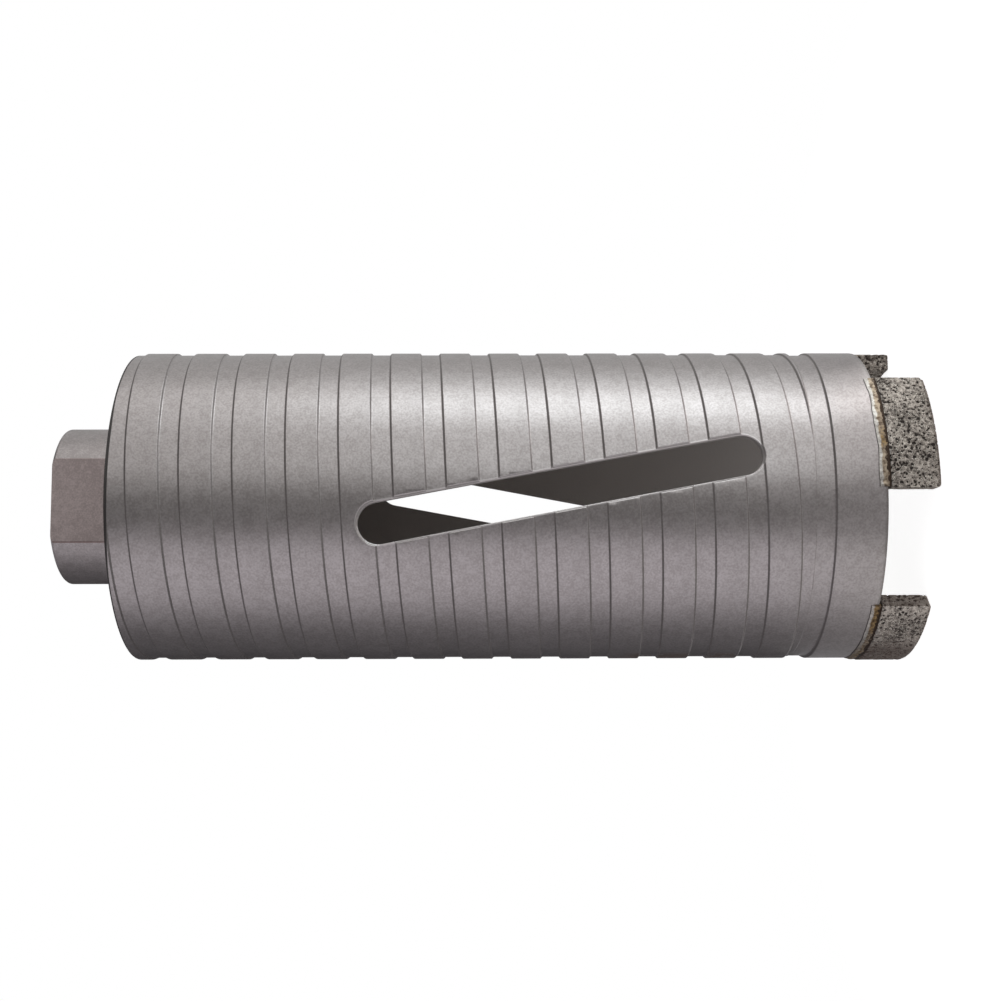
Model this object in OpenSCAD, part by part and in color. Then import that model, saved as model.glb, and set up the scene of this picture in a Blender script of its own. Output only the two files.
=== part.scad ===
// Dry core drill bit: a steel barrel with a helical dust groove and two slots,
// closed by a plate with a threaded hub, and four diamond segments on its mouth.
// It stands on its segments, with its axis on Z and the hub on top.
// Angles are measured about Z from +X. The side that faces -Y is the front.

/* [Barrel] */
// Diameter that the bit cuts, over its segments
cut_d = 68; // [60:0.5:80]
// Gap between the barrel and the wall of the hole that it cuts
side_gap = 0.5; // [0.4:0.1:1]
// Gap between the core that it cuts and the bore of the barrel
core_gap = 0.7; // [0.4:0.1:1.2]
// Length of the barrel from its mouth to its back
barrel_len = 155; // [130:1:220]
// Wall of the barrel under the raised lands
barrel_wall = 2.5; // [2:0.1:3.5]
// Width of the bevel on the outer edges at both ends of the barrel
edge_break = 0.3; // [0.2:0.05:0.8]

/* [Dust groove] */
// Advance of the helical groove in one turn
groove_pitch = 10.56; // [8:0.02:14]
// Width of the groove at half its depth
groove_w = 4; // [2:0.1:5]
// Depth of the groove
groove_depth = 0.4; // [0.2:0.05:0.8]
// Width of each sloping side of the groove
groove_flank = 0.4; // [0.1:0.05:0.8]
// Distance from the mouth to the ring groove that ends the helix
ring_margin = 10.3; // [6:0.1:18]
// Extra depth of the ring groove below the floor of the helix
ring_extra = 0.1; // [0.1:0.05:0.4]
// Angle at which the helix starts to rise out of the ring groove
groove_start = 165.2; // [0:0.2:360]

/* [Slots] */
// Length of each slot over its round ends
slot_len = 82; // [40:1:90]
// Width of each slot
slot_w = 8.3; // [5:0.1:12]
// Lean of the slots from the axis
slot_lean = 10.5; // [0:0.5:20]
// Height of the middle of the slots above the mouth
slot_height = 64.8; // [62:0.2:80]
// Angle of the middle of the first slot
slot_angle = -84; // [-180:0.5:180]
// Turn from the first slot to the second
slot_turn = 178.5; // [170:0.5:190]

/* [Back plate] */
// Thickness of the plate that closes the back of the barrel
plate_t = 6; // [4:0.5:10]

/* [Hub] */
// Diameter of the hub
hub_d = 34; // [31:0.5:40]
// Height of the hub above the back of the barrel
hub_h = 16; // [12:0.5:25]
// Distance across the two wrench flats
hub_flats = 29; // [27:0.5:32]
// Angle that the first wrench flat faces
hub_angle = -84.7; // [-180:0.1:180]
// Diameter of the thread, bored to its roots
thread_d = 21; // [16:0.5:23]
// Diameter of the spigot that sits in the plate
spigot_d = 28; // [26:0.5:30]
// Radius of the hub's rounded rim, and width of the bevels at the mouths of its bore
hub_break = 0.8; // [0.3:0.1:1.2]
// Leg of the weld fillet round the end of the spigot
weld_leg = 2.5; // [1.5:0.1:4]

/* [Segments] */
// Height of a segment with its braze layer
segment_h = 10.5; // [7:0.5:14]
// Angle that a segment spans
segment_arc = 45.3; // [20:0.1:60]
// Angles of the middles of the four segments, as they were brazed on
segment_angles = [-61.4, 28.4, 118.6, 210.6]; // [-180:0.1:360]
// Radius of the corners at the tip of a segment
corner_r = 1; // [0.5:0.1:2.5]
// Radius of the long edges at the tip of a segment
tip_r = 0.6; // [0.2:0.1:1.3]
// Thickness of the braze layer
braze_t = 0.5; // [0.2:0.1:1]
// Distance that the braze layer stays inside the faces of its segment
braze_inset = 0.15; // [0.1:0.05:0.3]
// Height of the braze fillets up the walls of the barrel
braze_rise = 1.6; // [0.5:0.1:3]

/* [Hidden] */
$fn = 96;
full_turn = 360;
segment_r = cut_d / 2;
segment_t = side_gap + barrel_wall + core_gap;
segment_in_r = segment_r - segment_t;
barrel_r = segment_r - side_gap;
bore_r = barrel_r - barrel_wall;
floor_r = barrel_r - groove_depth;
ring_r = floor_r - ring_extra;
mouth_z = segment_h;
back_z = mouth_z + barrel_len;
plate_z = back_z - plate_t;
// Heights of the two sides of the ring groove at half its depth, and of its middle
ring_low = mouth_z + ring_margin;
ring_high = ring_low + groove_w;
ring_mid = (ring_low + ring_high) / 2;
// Overshoot of a cut past the face that it leaves
past = 1;
// Extra radius with which a rounded corner crosses the faces beside it
crossing = 0.02;
// Steps of the helix in one turn, and its turns with two that the cuts take off
steps = 48;
turns = ceil((back_z - ring_low) / groove_pitch) + 2;
painted = [0.66, 0.64, 0.63];
bare = [0.5, 0.49, 0.48];
sintered = [0.4, 0.38, 0.35];
brass = [0.55, 0.44, 0.25];

// Radius of the four edges of the groove, and their height above its lower side:
// the floor's lower and upper edge, then the land's lower and upper edge
groove_edges = [
    [floor_r, groove_flank / 2],
    [floor_r, groove_w - groove_flank / 2],
    [barrel_r, groove_w + groove_flank / 2],
    [barrel_r, groove_pitch - groove_flank / 2]];
edges = len(groove_edges);

// Place of one edge of the groove at step i of the helix, and its index in the list of points
function helix_point(i, edge) = let (
    r = groove_edges[edge][0],
    z = ring_low + groove_pitch * (i / steps - 1) + groove_edges[edge][1],
    a = groove_start + full_turn * i / steps
) [r * cos(a), r * sin(a), z];
function index(i, edge) = edges * i + edge;

// The two triangles between four corners given in order round them
function quad(a, b, c, d) = [[a, b, c], [a, c, d]];

// A fan of triangles from one point to a closed loop of others
function fan(tip, loop) = [for (k = [0:len(loop) - 1]) [tip, loop[k], loop[(k + 1) % len(loop)]]];

// A solid screw with the groove round it, longer than the grooved length at both ends
module screw() {
    last = turns * steps;
    top = edges - 1;
    skin = [for (i = [0:last]) for (edge = [0:top]) helix_point(i, edge)];
    tips = [[0, 0, ring_low - 2 * groove_pitch], [0, 0, ring_low + (turns + 1) * groove_pitch]];
    // The floor, its upper side and the land, along the whole helix
    strips = [for (i = [0:last - 1]) for (edge = [0:top - 1])
        each quad(index(i, edge), index(i, edge + 1), index(i + 1, edge + 1), index(i + 1, edge))];
    // The lower side, from the land to the floor of the next turn
    joins = [for (i = [0:last - steps - 1])
        each quad(index(i, top), index(i + steps, 0), index(i + steps + 1, 0), index(i + 1, top))];
    // The open edge of the skin at each end, closed to a point on the axis
    foot = concat([for (i = [0:steps]) index(i, 0)], [for (edge = [top:-1:1]) index(0, edge)]);
    crown = concat([for (edge = [0:top]) index(last, edge)],
        [for (i = [last - 1:-1:last - steps]) index(i, top)]);
    polyhedron(points = concat(skin, tips),
        faces = concat(strips, joins, fan(len(skin), foot), fan(len(skin) + 1, crown)));
}

// The plain end of the barrel at the mouth, up to the middle of the ring groove
module mouth_end() {
    rotate_extrude() polygon([
        [0, mouth_z],
        [barrel_r - edge_break, mouth_z],
        [barrel_r, mouth_z + edge_break],
        [barrel_r, ring_low - groove_flank / 2],
        [ring_r, ring_low + groove_flank / 2],
        [ring_r, ring_mid],
        [0, ring_mid]]);
}

// The space that the grooved length of the barrel fills, with its bevelled back edge
module grooved_length() {
    rotate_extrude() polygon([
        [0, ring_mid],
        [barrel_r + past, ring_mid],
        [barrel_r + past, back_z - edge_break - past],
        [barrel_r - edge_break, back_z],
        [0, back_z]]);
}

// The upper half of the ring groove, cut into the end of the helix
module ring_cut() {
    slope = groove_flank / (barrel_r - ring_r);
    rotate_extrude() polygon([
        [ring_r, ring_mid - past],
        [ring_r, ring_high - groove_flank / 2],
        [barrel_r + past, ring_high + groove_flank / 2 + slope * past],
        [barrel_r + past, ring_mid - past]]);
}

// One slot, cut straight in from the outside at an angle about the axis
module slot(angle) {
    straight = slot_len - slot_w;
    rotate([0, 0, angle]) translate([0, 0, mouth_z + slot_height]) rotate([slot_lean, 0, 0])
        rotate([0, 90, 0]) linear_extrude(barrel_r + past) {
            square([straight, slot_w], center = true);
            for (end = [-1, 1]) translate([end * straight / 2, 0]) circle(d = slot_w);
        }
}

module barrel() {
    color(painted) difference() {
        union() {
            mouth_end();
            difference() {
                intersection() {
                    screw();
                    grooved_length();
                }
                ring_cut();
            }
        }
        translate([0, 0, mouth_z - past]) cylinder(r = bore_r, h = barrel_len + 2 * past);
        slot(slot_angle);
        slot(slot_angle + slot_turn);
    }
}

module back_plate() {
    color(painted) translate([0, 0, plate_z]) difference() {
        cylinder(r = bore_r, h = plate_t);
        translate([0, 0, -past]) cylinder(d = spigot_d, h = plate_t + 2 * past);
    }
}

// The hub: a turned head with two flats, on a spigot that goes through the plate
module hub() {
    top_z = back_z + hub_h;
    spigot_z = plate_z - weld_leg;
    color(painted) difference() {
        union() {
            intersection() {
                rotate_extrude() translate([0, back_z]) {
                    square([hub_d / 2, hub_h - hub_break]);
                    square([hub_d / 2 - hub_break, hub_h]);
                    translate([hub_d / 2 - hub_break, hub_h - hub_break]) circle(r = hub_break);
                }
                rotate([0, 0, hub_angle]) translate([0, 0, back_z + hub_h / 2])
                    cube([hub_flats, hub_d + past, hub_h + past], center = true);
            }
            translate([0, 0, spigot_z]) cylinder(d = spigot_d, h = back_z - spigot_z);
        }
        rotate_extrude() polygon([
            [0, spigot_z - past],
            [thread_d / 2 + hub_break + past, spigot_z - past],
            [thread_d / 2, spigot_z + hub_break],
            [thread_d / 2, top_z - hub_break],
            [thread_d / 2 + hub_break + past, top_z + past],
            [0, top_z + past]]);
    }
}

module hub_weld() {
    color(bare) rotate_extrude() polygon([
        [spigot_d / 2, plate_z],
        [spigot_d / 2 + weld_leg, plate_z],
        [spigot_d / 2, plate_z - weld_leg]]);
}

// What is cut off to round one corner of a segment, seen along the radius
module corner_cut() {
    translate([segment_in_r - past, 0, 0]) rotate([90, 0, 90])
        linear_extrude(segment_t + 2 * past) difference() {
            translate([-corner_r, -past]) square(corner_r + past);
            translate([-corner_r, corner_r]) circle(r = corner_r + crossing);
        }
}

// A segment, with its tip down and its middle at an angle about the axis
module segment(angle) {
    high = segment_h - braze_t;
    color(sintered) rotate([0, 0, angle]) difference() {
        rotate_extrude(angle = segment_arc, start = -segment_arc / 2) {
            translate([segment_in_r, tip_r]) square([segment_t, high - tip_r]);
            translate([segment_in_r + tip_r, 0]) square([segment_t - 2 * tip_r, high]);
            for (r = [segment_in_r + tip_r, segment_r - tip_r]) translate([r, tip_r]) circle(r = tip_r);
        }
        for (side = [0, 1]) mirror([0, side, 0]) rotate([0, 0, segment_arc / 2]) corner_cut();
    }
}

// The braze at the segment at an angle: a layer under the mouth of the barrel, with a
// fillet up its outside, round the bevel, and one up its bore
module braze(angle) {
    arc = segment_arc - full_turn * braze_inset / (PI * segment_r);
    out_r = segment_r - braze_inset;
    in_r = segment_in_r + braze_inset;
    color(brass) rotate([0, 0, angle]) rotate_extrude(angle = arc, start = -arc / 2) polygon([
        [in_r, segment_h - braze_t],
        [out_r, segment_h - braze_t],
        [out_r, mouth_z],
        [barrel_r, mouth_z + braze_rise],
        [barrel_r, mouth_z + edge_break],
        [barrel_r - edge_break, mouth_z],
        [bore_r, mouth_z],
        [bore_r, mouth_z + braze_rise],
        [in_r, mouth_z]]);
}

module segment_1() { segment(segment_angles[0]); }
module segment_2() { segment(segment_angles[1]); }
module segment_3() { segment(segment_angles[2]); }
module segment_4() { segment(segment_angles[3]); }
module braze_1() { braze(segment_angles[0]); }
module braze_2() { braze(segment_angles[1]); }
module braze_3() { braze(segment_angles[2]); }
module braze_4() { braze(segment_angles[3]); }

barrel();
back_plate();
hub();
hub_weld();
segment_1();
segment_2();
segment_3();
segment_4();
braze_1();
braze_2();
braze_3();
braze_4();
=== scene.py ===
import math

import bmesh
import bpy
from mathutils import Matrix, Vector


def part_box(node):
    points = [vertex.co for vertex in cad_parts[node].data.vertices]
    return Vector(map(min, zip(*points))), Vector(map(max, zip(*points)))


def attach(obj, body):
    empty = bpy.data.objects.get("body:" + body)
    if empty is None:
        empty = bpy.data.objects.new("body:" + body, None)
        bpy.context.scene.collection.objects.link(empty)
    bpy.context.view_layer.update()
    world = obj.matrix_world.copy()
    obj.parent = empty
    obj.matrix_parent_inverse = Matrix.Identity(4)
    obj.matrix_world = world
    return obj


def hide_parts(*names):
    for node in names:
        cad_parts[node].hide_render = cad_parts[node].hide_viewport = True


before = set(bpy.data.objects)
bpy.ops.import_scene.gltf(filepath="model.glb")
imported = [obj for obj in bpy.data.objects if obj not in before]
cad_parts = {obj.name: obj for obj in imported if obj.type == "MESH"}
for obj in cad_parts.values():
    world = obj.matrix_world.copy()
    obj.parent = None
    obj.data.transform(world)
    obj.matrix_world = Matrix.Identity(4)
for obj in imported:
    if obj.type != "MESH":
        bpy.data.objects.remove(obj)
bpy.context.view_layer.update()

MM = 0.001
TURN = 2 * math.pi

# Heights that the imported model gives
barrel_low, barrel_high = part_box("barrel")
hub_low, hub_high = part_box("hub")
MOUTH = barrel_low.z
BACK = barrel_high.z
TOP = hub_high.z
PLATE_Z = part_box("back_plate")[0].z

# Sizes of the barrel, in metres, the same as in the part's source
BARREL_R = 33.5 * MM
BORE_R = 31 * MM
EDGE = 0.3 * MM
INNER_EDGE = 0.12 * MM
GROOVE_PITCH = 10.56 * MM
GROOVE_W = 4 * MM
GROOVE_DEPTH = 0.4 * MM
GROOVE_SIDE = 0.5 * MM
GROOVE_START = math.radians(165.2)
RING_LOW = MOUTH + 10.3 * MM
RING_HIGH = RING_LOW + GROOVE_W
RING_DEPTH = 0.5 * MM
SLOT_LEN = 82 * MM
SLOT_W = 8.3 * MM
SLOT_LEAN = math.radians(10.5)
SLOT_HEIGHT = MOUTH + 64.8 * MM
SLOT_FIRST = math.radians(-84)
SLOT_APART = math.radians(178.5)
SLOT_ANGLES = [SLOT_FIRST, SLOT_FIRST + SLOT_APART]

# Steps of the barrel's skin: columns in a turn, rows on a groove's side, the share of that
# side at which a guard row stands off it, and how far from the groove's middle the rows on
# the lands lie
BARREL_COLUMNS = 180
SIDE_STEPS = 7
SIDE_GUARD = 0.09
LAND_ROW = 3.9 * MM
# The rows that follow the helix keep this share of a groove's side above the ring groove
RING_CLEAR = 0.6

# The slots' edges: a bevel, then a rounding as wide and as deep, which ends in a flare
SLOT_BEVEL = 0.2 * MM
SLOT_ROUND = 0.4 * MM
ROUND_FROM = math.radians(20)
ROUND_TO = math.radians(80)
ROUND_STEPS = 4
# A little more than the sine gains over the rounding, so that it ends inside the wall
ROUND_RISE = 0.65
SLOT_FLARE = 0.5 * MM
SLOT_FLARE_RISE = 0.08 * MM
SLOT_CUT_FROM = 24 * MM
SLOT_CUT_TO = 40 * MM
SLOT_SIDE_POINTS = 40
SLOT_END_POINTS = 28

# Sizes of the segments and the braze at their roots
CUT_R = 34 * MM
SEGMENT_T = 3.7 * MM
SEGMENT_ARC = math.radians(45.3)
SEGMENT_ANGLES = [math.radians(degrees) for degrees in (-61.4, 28.4, 118.6, 210.6)]
SEGMENT_VOXEL = 0.2 * MM
PIT_SIZE = 0.85 * MM
PIT_DEPTH = 0.3 * MM
SEGMENT_WAVINESS = 0.1 * MM
BRAZE_INSET = 0.15 * MM
BRAZE_SHORT = 0.5 * MM
BRAZE_RISE = 1.7 * MM
# The braze outside and inside the wall: the thickness of its thin edge, how far its face
# swells, and the steps in it
EDGE_OUTSIDE = 0.1 * MM
EDGE_INSIDE = 0.08 * MM
SWELL_OUTSIDE = 0.12 * MM
SWELL_INSIDE = 0.1 * MM
STEPS_OUTSIDE = 12
STEPS_INSIDE = 8
# How far the back of the braze reaches into the wall, and its layer below the mouth
BRAZE_BURIED = 0.03 * MM
BRAZE_UNDER = 0.02 * MM
BRAZE_STEPS = 150
BRAZE_LUMP = 1.3 * MM
BRAZE_LUMP_HEIGHT = 0.45 * MM
BRAZE_WANDER = 0.9 * MM

# Sizes of the hub and of its thread
HUB_R = 17 * MM
HUB_RIM = 0.8 * MM
HUB_FLATS = 29 * MM
HUB_ANGLE = math.radians(-84.7)
SPIGOT_R = 14 * MM
SPIGOT_Z = hub_low.z
THREAD_ROOT = 10.5 * MM
THREAD_CREST = 9.32 * MM
THREAD_PITCH = 1.814 * MM
THREAD_MOUTH = 11.3 * MM
# Half the width of a thread's ridge at its foot and at its crest, as shares of the pitch
RIDGE_FOOT = 0.4
RIDGE_CREST = 0.12
HUB_COLUMNS = 144
# What a wrench flat's cutter has to spare: its thickness, its reach past the hub's end, and
# its distance from the back of the barrel
FLAT_CUT = 10 * MM
FLAT_OVER = 2 * MM
FLAT_CLEAR = 0.04 * MM

# Sizes of the weld round the end of the hub's spigot
WELD_LEG = 2.5 * MM
WELD_SAG = 0.35 * MM
WELD_STEPS = 8
WELD_RIPPLES = 46
RIPPLE_DEPTH = 0.3 * MM
# How far a ripple's middle trails its ends, as a share of a ripple
RIPPLE_TRAIL = 0.45
WELD_COLUMNS = 368

# Points this near to each other are joined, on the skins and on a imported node's copy
SKIN_JOIN = 0.002 * MM
NODE_JOIN = 0.001 * MM

# Edges that turn by more degrees than this stay sharp
TURNED_CREASE = 27
LUMPY_CREASE = 50
PITTED_CREASE = 60


# Helpers for node trees

class Num:
    """A number inside a node tree, so that a rule of shape reads as arithmetic."""

    def __init__(self, tree, socket):
        self.tree = tree
        self.socket = socket

    def __add__(self, other):
        return calc(self.tree, "ADD", self, other)

    def __radd__(self, other):
        return calc(self.tree, "ADD", other, self)

    def __sub__(self, other):
        return calc(self.tree, "SUBTRACT", self, other)

    def __rsub__(self, other):
        return calc(self.tree, "SUBTRACT", other, self)

    def __mul__(self, other):
        return calc(self.tree, "MULTIPLY", self, other)

    def __rmul__(self, other):
        return calc(self.tree, "MULTIPLY", other, self)

    def __truediv__(self, other):
        return calc(self.tree, "DIVIDE", self, other)

    def __rtruediv__(self, other):
        return calc(self.tree, "DIVIDE", other, self)


def feed(tree, socket, value):
    """Joins an output to a socket, or writes a plain value into it."""
    if isinstance(value, Num):
        tree.links.new(value.socket, socket)
    elif isinstance(value, bpy.types.NodeSocket):
        tree.links.new(value, socket)
    elif isinstance(value, bpy.types.Node):
        tree.links.new(value.outputs[0], socket)
    else:
        socket.default_value = value


def add(tree, kind, inputs=None, **settings):
    """A node with its settings, and each input joined or filled in."""
    node = tree.nodes.new(kind)
    for key, value in settings.items():
        setattr(node, key, value)
    for key, value in (inputs or {}).items():
        feed(tree, node.inputs[key], value)
    return node


def calc(tree, operation, *values):
    """One step of arithmetic in a node tree."""
    node = tree.nodes.new("ShaderNodeMath")
    node.operation = operation
    for place, value in enumerate(values):
        feed(tree, node.inputs[place], value)
    return Num(tree, node.outputs[0])


def lowest(first, *others):
    """The lowest of several numbers."""
    for other in others:
        first = calc(first.tree, "MINIMUM", first, other)
    return first


def clamped(value, low, high):
    """The value, held between two limits."""
    tree = value.tree
    return calc(tree, "MINIMUM", calc(tree, "MAXIMUM", value, low), high)


def eased(value):
    """A smooth step from 0 to 1 as the value goes from 0 to 1."""
    part = clamped(value, 0.0, 1.0)
    return part * part * (3.0 - 2.0 * part)


def parts_of(tree, vector):
    """The three parts of a vector, as numbers."""
    node = add(tree, "ShaderNodeSeparateXYZ", {0: vector})
    return [Num(tree, node.outputs[k]) for k in range(3)]


def vector_calc(tree, operation, *values):
    """One step of arithmetic on vectors."""
    return add(tree, "ShaderNodeVectorMath", dict(enumerate(values)), operation=operation)


def scaled(tree, vector, amount):
    """A vector made longer or shorter by a number."""
    node = vector_calc(tree, "SCALE", vector)
    feed(tree, node.inputs["Scale"], amount)
    return node


def dot(tree, first, second):
    """How far one vector reaches along another."""
    return Num(tree, vector_calc(tree, "DOT_PRODUCT", first, second).outputs["Value"])


def noise(tree, place, scale, detail, seed=None):
    """Soft noise from 0 to 1, which a seed, if there is one, changes."""
    inputs = {"Vector": place, "Scale": scale, "Detail": detail}
    if seed is None:
        node = add(tree, "ShaderNodeTexNoise", inputs)
    else:
        node = add(tree, "ShaderNodeTexNoise", {**inputs, "W": seed}, noise_dimensions="4D")
    return Num(tree, node.outputs[0])


def store(tree, geometry, name, value, kind="FLOAT", domain="POINT"):
    """The geometry with a value kept on it by name, for its material to read."""
    return add(tree, "GeometryNodeStoreNamedAttribute", {
        "Geometry": geometry, "Name": name, "Value": value}, data_type=kind, domain=domain)


def shape_tree(name, sizes):
    """An empty Geometry Nodes tree with named inputs, and those inputs as numbers or sockets."""
    tree = bpy.data.node_groups.new(name, "GeometryNodeTree")
    tree.interface.new_socket("Geometry", in_out="INPUT", socket_type="NodeSocketGeometry")
    tree.interface.new_socket("Geometry", in_out="OUTPUT", socket_type="NodeSocketGeometry")
    for key, kind in sizes.items():
        tree.interface.new_socket(key, in_out="INPUT", socket_type="NodeSocket" + kind)
    entry = add(tree, "NodeGroupInput")
    given = {}
    for key, kind in sizes.items():
        socket = entry.outputs[key]
        given[key] = Num(tree, socket) if kind in ("Float", "Int") else socket
    given["Geometry"] = entry.outputs["Geometry"]
    return tree, given


def close_tree(tree, geometry, material):
    """Ends a tree in Realize Instances and Set Material."""
    real = add(tree, "GeometryNodeRealizeInstances", {"Geometry": geometry})
    finished = add(tree, "GeometryNodeSetMaterial", {"Geometry": real, "Material": material})
    leave = add(tree, "NodeGroupOutput")
    feed(tree, leave.inputs["Geometry"], finished)


def new_object(name, mesh):
    """An object for a mesh or a camera, put in the scene."""
    piece = bpy.data.objects.new(name, mesh)
    bpy.context.scene.collection.objects.link(piece)
    return piece


def grown(name, tree, values, start=None):
    """The plain mesh that a tree makes from its named inputs."""
    seed = new_object(name + "_seed", start or bpy.data.meshes.new(name + "_seed"))
    modifier = seed.modifiers.new("shape", "NODES")
    modifier.node_group = tree
    for item in tree.interface.items_tree:
        if item.in_out == "INPUT" and item.name in values:
            modifier[item.identifier] = values[item.name]
    seed.update_tag()
    depsgraph = bpy.context.evaluated_depsgraph_get()
    mesh = bpy.data.meshes.new_from_object(seed.evaluated_get(depsgraph), depsgraph=depsgraph)
    mesh.name = name
    bpy.data.objects.remove(seed)
    return new_object(name, mesh)


def coat(piece, material):
    """Gives a piece one finish all over."""
    piece.data.materials.clear()
    piece.data.materials.append(material)


def settle(piece, material, slot, *nodes):
    """Gives a finished piece its finish and its place in the frame, and hides the CAD nodes it stands
    for.
    """
    coat(piece, material)
    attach(piece, "root")
    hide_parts(*nodes)


def discard(helpers):
    """Takes the objects that a tree has read out of the scene."""
    for helper in helpers:
        bpy.data.objects.remove(helper)


# Meshes from points

def point_mesh(name, points):
    """A mesh of loose points, which a tree reads as rows."""
    mesh = bpy.data.meshes.new(name)
    mesh.from_pydata([Vector(p) for p in points], [], [])
    return mesh


def loft(name, rings):
    """A closed mesh through rings of points, with a flat face at each end."""
    count = len(rings[0])
    points = [p for ring in rings for p in ring]
    faces = []
    for level in range(len(rings) - 1):
        for k in range(count):
            here = level * count + k
            after = level * count + (k + 1) % count
            faces.append((here, after, after + count, here + count))
    faces.append(tuple(reversed(range(count))))
    faces.append(tuple(range((len(rings) - 1) * count, len(rings) * count)))
    mesh = bpy.data.meshes.new(name)
    mesh.from_pydata(points, [], faces)
    work = bmesh.new()
    work.from_mesh(mesh)
    bmesh.ops.recalc_face_normals(work, faces=work.faces)
    work.to_mesh(mesh)
    work.free()
    return mesh


def merged_copy(node, name):
    """A copy of a CAD node's mesh with its loose triangles joined up."""
    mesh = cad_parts[node].data.copy()
    work = bmesh.new()
    work.from_mesh(mesh)
    bmesh.ops.remove_doubles(work, verts=work.verts, dist=NODE_JOIN)
    work.to_mesh(mesh)
    work.free()
    mesh.name = name
    return mesh


# Slots

def slot_outline(offset):
    """Points along and across the slot, wider by an offset all round."""
    half = (SLOT_LEN - SLOT_W) / 2
    reach = SLOT_W / 2 + offset
    points = []
    for side in (1, -1):
        for k in range(SLOT_SIDE_POINTS):
            points.append((side * half * (2 * k / SLOT_SIDE_POINTS - 1), -side * reach))
        for k in range(SLOT_END_POINTS):
            turn = side * math.pi / 2 * (2 * k / SLOT_END_POINTS - 1)
            if side == 1:
                points.append((half + reach * math.cos(turn), reach * math.sin(turn)))
            else:
                points.append((-half - reach * math.cos(turn), reach * math.sin(turn)))
    return points


def slot_ring(offset, middle, radius=None, depth=None):
    """The slot's outline laid on a cylinder about the barrel's axis, or on a flat plane."""
    ring = []
    for along, across in slot_outline(offset):
        t = across * math.cos(SLOT_LEAN) - along * math.sin(SLOT_LEAN)
        z = SLOT_HEIGHT + across * math.sin(SLOT_LEAN) + along * math.cos(SLOT_LEAN)
        x = depth or math.sqrt(radius * radius - t * t)
        ring.append((
            x * math.cos(middle) - t * math.sin(middle),
            x * math.sin(middle) + t * math.cos(middle),
            z))
    return ring


def slot_cutter(name, middle):
    """What a slot takes out of the barrel, flared where its outer edge is rounded."""
    rings = [slot_ring(0, middle, depth=SLOT_CUT_FROM)]
    rings.append(slot_ring(0, middle, radius=BARREL_R - GROOVE_DEPTH - SLOT_BEVEL))
    for k in range(ROUND_STEPS + 1):
        turn = ROUND_FROM + (ROUND_TO - ROUND_FROM) * k / ROUND_STEPS
        offset = SLOT_BEVEL + SLOT_ROUND * (math.cos(ROUND_FROM) - math.cos(turn))
        risen = (math.sin(turn) - math.sin(ROUND_FROM)) / ROUND_RISE
        radius = BARREL_R - SLOT_ROUND * (1 - risen)
        rings.append(slot_ring(offset, middle, radius=radius))
    offset += SLOT_FLARE
    rings.append(slot_ring(offset, middle, radius=radius + SLOT_FLARE_RISE))
    rings.append(slot_ring(offset, middle, depth=SLOT_CUT_TO))
    return new_object(name, loft(name, rings))


# Turned pieces

def turned_grid(tree, given):
    """A grid with a column for each step round Z and a row for each point of a profile.

    Gives the grid, the part of the turn and the angle of each column, and the radius,
    the riding and the height of each row.
    """
    rows = add(tree, "GeometryNodeObjectInfo", {"Object": given["Rows"]}).outputs["Geometry"]
    grid = add(tree, "GeometryNodeMeshGrid", {
        "Vertices X": given["Columns"] + 1.0, "Vertices Y": given["Row Count"]})
    index = Num(tree, add(tree, "GeometryNodeInputIndex").outputs[0])
    column = calc(tree, "FLOOR", (index + 0.5) / given["Row Count"])
    row = index - column * given["Row Count"]
    place = add(tree, "GeometryNodeInputPosition")
    station = add(tree, "GeometryNodeSampleIndex", {
        "Geometry": rows, "Value": place, "Index": row}, data_type="FLOAT_VECTOR")
    part = column / given["Columns"]
    return (grid, part, part * TURN, *parts_of(tree, station))


def turned_skin(tree, grid, radius, angle, z):
    """The grid bent round Z, and closed where its ends and its collapsed rows meet."""
    spot = add(tree, "ShaderNodeCombineXYZ", {
        0: radius * calc(tree, "COSINE", angle), 1: radius * calc(tree, "SINE", angle), 2: z})
    placed = add(tree, "GeometryNodeSetPosition", {"Geometry": grid, "Position": spot})
    return add(tree, "GeometryNodeMergeByDistance", {"Geometry": placed, "Distance": SKIN_JOIN})


def cut_out(tree, geometry, given, *cutters):
    """What is left of a closed mesh when the cutters, given as objects, are taken out of it."""
    cut = add(tree, "GeometryNodeMeshBoolean", {"Mesh 1": geometry},
        operation="DIFFERENCE", solver="MANIFOLD")
    for key in cutters:
        cutter = add(tree, "GeometryNodeObjectInfo", {"Object": given[key]}).outputs["Geometry"]
        feed(tree, cut.inputs["Mesh 2"], cutter)
    return cut.outputs["Mesh"]


def sharpened(tree, geometry, degrees):
    """Smooth shading, broken at edges that turn by more than an angle."""
    smooth = add(tree, "GeometryNodeSetShadeSmooth", {
        "Geometry": geometry, "Shade Smooth": True}, domain="FACE")
    turn = Num(tree, add(tree, "GeometryNodeInputMeshEdgeAngle").outputs["Unsigned Angle"])
    crease = calc(tree, "GREATER_THAN", turn, math.radians(degrees))
    return add(tree, "GeometryNodeSetShadeSmooth", {
        "Geometry": smooth, "Selection": crease, "Shade Smooth": False}, domain="EDGE")


# Barrel

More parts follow.
